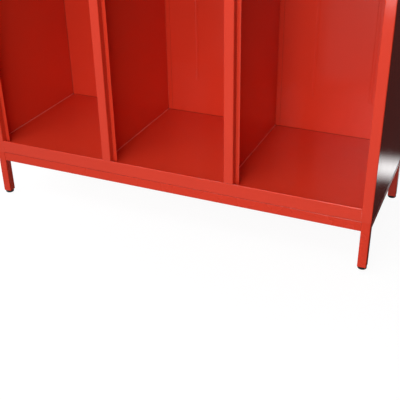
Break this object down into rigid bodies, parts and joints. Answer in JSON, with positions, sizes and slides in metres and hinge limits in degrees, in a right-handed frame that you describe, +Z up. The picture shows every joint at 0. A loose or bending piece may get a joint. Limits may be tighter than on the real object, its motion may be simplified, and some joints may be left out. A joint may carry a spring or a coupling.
{
  "type": "filing cabinet",
  "caption": "Tall open-fronted red steel storage cabinet: bays split by folded uprights, adjustable shelves, on a square-tube stand with levelling feet.",
  "frame": {"origin": "middle of the footprint at floor level", "axes": "+X to the cabinet's right as seen from the front, +Y to the back, +Z up; the open front faces -Y"},
  "size_m": [1.2, 0.46, 1.95],
  "materials": {
    "cabinet_paint": "glossy red powder coat",
    "back_paint": "glossy red powder coat",
    "shelf_paint": "glossy red powder coat",
    "strip_paint": "glossy red powder coat",
    "stand_paint": "glossy red powder coat",
    "zinc_steel": "bright zinc plate",
    "insert_plastic": "moulded black plastic",
    "foot_plastic": "moulded black plastic"
  },
  "bodies": {
    "cabinet": {"leg_front_left": "stand_paint", "foot_insert_front_left": "insert_plastic", "leg_front_right": "stand_paint", "foot_insert_front_right": "insert_plastic", "leg_rear_left": "stand_paint", "foot_insert_rear_left": "insert_plastic", "leg_rear_right": "stand_paint", "foot_insert_rear_right": "insert_plastic", "stand_front_rail": "stand_paint", "stand_rear_rail": "stand_paint", "stand_left_rail": "stand_paint", "stand_right_rail": "stand_paint", "stand_bolts": "zinc_steel", "stand_nuts": "zinc_steel", "left_side_panel": "cabinet_paint", "right_side_panel": "cabinet_paint", "right_inner_wall": "cabinet_paint", "left_divider": "cabinet_paint", "right_divider": "cabinet_paint", "floor_tray": "cabinet_paint", "top_tray": "cabinet_paint", "left_back_panel": "back_paint", "left_shelf_1": "shelf_paint", "left_shelf_2": "shelf_paint", "left_shelf_3": "shelf_paint", "left_slotted_strips": "strip_paint", "left_shelf_clips": "zinc_steel", "middle_back_panel": "back_paint", "middle_shelf_1": "shelf_paint", "middle_shelf_2": "shelf_paint", "middle_shelf_3": "shelf_paint", "middle_slotted_strips": "strip_paint", "middle_shelf_clips": "zinc_steel", "right_back_panel": "back_paint", "right_shelf_1": "shelf_paint", "right_shelf_2": "shelf_paint", "right_shelf_3": "shelf_paint", "right_slotted_strips": "strip_paint", "right_shelf_clips": "zinc_steel"},
    "foot_front_left": {"foot_base_front_left": "foot_plastic"},
    "stud_front_left": {"foot_stud_front_left": "zinc_steel"},
    "foot_front_right": {"foot_base_front_right": "foot_plastic"},
    "stud_front_right": {"foot_stud_front_right": "zinc_steel"},
    "foot_rear_left": {"foot_base_rear_left": "foot_plastic"},
    "stud_rear_left": {"foot_stud_rear_left": "zinc_steel"},
    "foot_rear_right": {"foot_base_rear_right": "foot_plastic"},
    "stud_rear_right": {"foot_stud_rear_right": "zinc_steel"}
  },
  "joints": [
    {"name": "foot_height_front_left", "type": "slide", "parent": "cabinet", "child": "foot_front_left", "axis": [0, 0, -1], "range_m": [0, 0.015]},
    {"name": "stud_turn_front_left", "type": "hinge", "parent": "foot_front_left", "child": "stud_front_left", "pos_m": [-0.5865, -0.2165, 0.005], "axis": [0, 0, -1], "range_deg": [0, 4320]},
    {"name": "foot_height_front_right", "type": "slide", "parent": "cabinet", "child": "foot_front_right", "axis": [0, 0, -1], "range_m": [0, 0.015]},
    {"name": "stud_turn_front_right", "type": "hinge", "parent": "foot_front_right", "child": "stud_front_right", "pos_m": [0.5865, -0.2165, 0.005], "axis": [0, 0, -1], "range_deg": [0, 4320]},
    {"name": "foot_height_rear_left", "type": "slide", "parent": "cabinet", "child": "foot_rear_left", "axis": [0, 0, -1], "range_m": [0, 0.015]},
    {"name": "stud_turn_rear_left", "type": "hinge", "parent": "foot_rear_left", "child": "stud_rear_left", "pos_m": [-0.5865, 0.2165, 0.005], "axis": [0, 0, -1], "range_deg": [0, 4320]},
    {"name": "foot_height_rear_right", "type": "slide", "parent": "cabinet", "child": "foot_rear_right", "axis": [0, 0, -1], "range_m": [0, 0.015]},
    {"name": "stud_turn_rear_right", "type": "hinge", "parent": "foot_rear_right", "child": "stud_rear_right", "pos_m": [0.5865, 0.2165, 0.005], "axis": [0, 0, -1], "range_deg": [0, 4320]}
  ],
  "couplings": [
    {"joint": "foot_height_front_left", "follows": "stud_turn_front_left", "m_per_rad": 0.00019894},
    {"joint": "foot_height_front_right", "follows": "stud_turn_front_right", "m_per_rad": 0.00019894},
    {"joint": "foot_height_rear_left", "follows": "stud_turn_rear_left", "m_per_rad": 0.00019894},
    {"joint": "foot_height_rear_right", "follows": "stud_turn_rear_right", "m_per_rad": 0.00019894}
  ]
}
